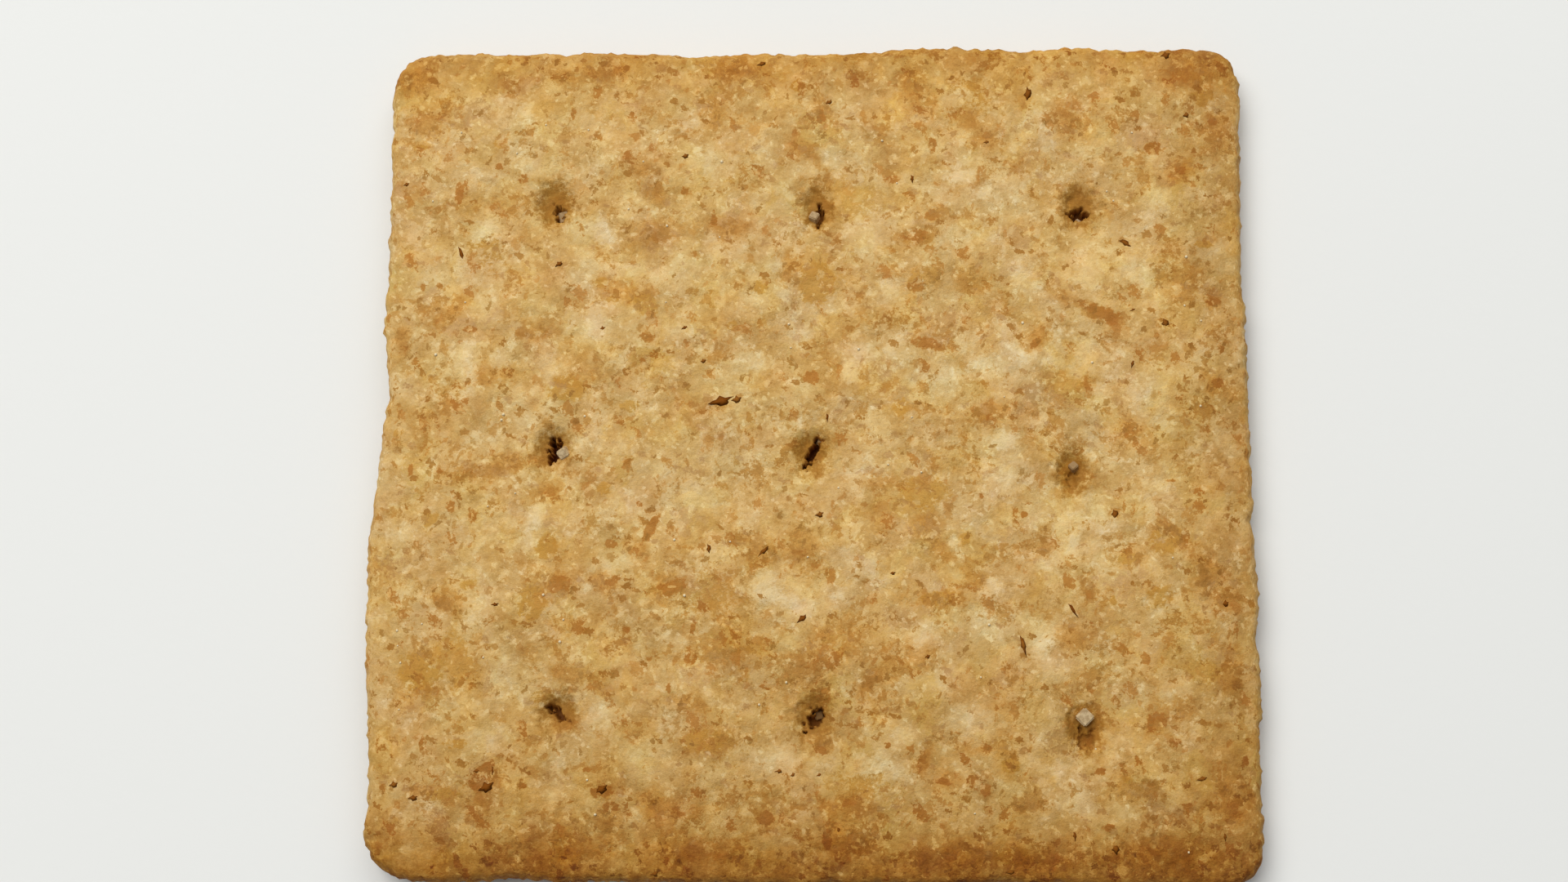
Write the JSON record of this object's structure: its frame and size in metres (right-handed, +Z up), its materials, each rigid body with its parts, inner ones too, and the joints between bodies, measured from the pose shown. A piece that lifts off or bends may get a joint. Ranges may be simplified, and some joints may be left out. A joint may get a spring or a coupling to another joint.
{
  "type": "wheat cracker",
  "caption": "Thin square toasted wheat cracker with rounded corners, docker holes in a grid and coarse salt grains baked onto its top.",
  "frame": {"origin": "under the middle of the cracker, on the plane that it rests on (bottom centre of its box)", "axes": "+Z up out of the baked top; +X along its longest side, to the right in the picture; +Y towards the picture's top edge"},
  "size_m": [0.0334, 0.0322, 0.0024],
  "materials": {
    "baked_crumb": "matt baked wheat dough, cream to toasted amber, speckled with bran",
    "salt": "translucent salt crystal, slightly frosted",
    "bran": "thin toasted bran flake, red-brown to nearly black"
  },
  "bodies": {
    "root": {"cracker": "baked_crumb"}
  },
  "joints": []
}
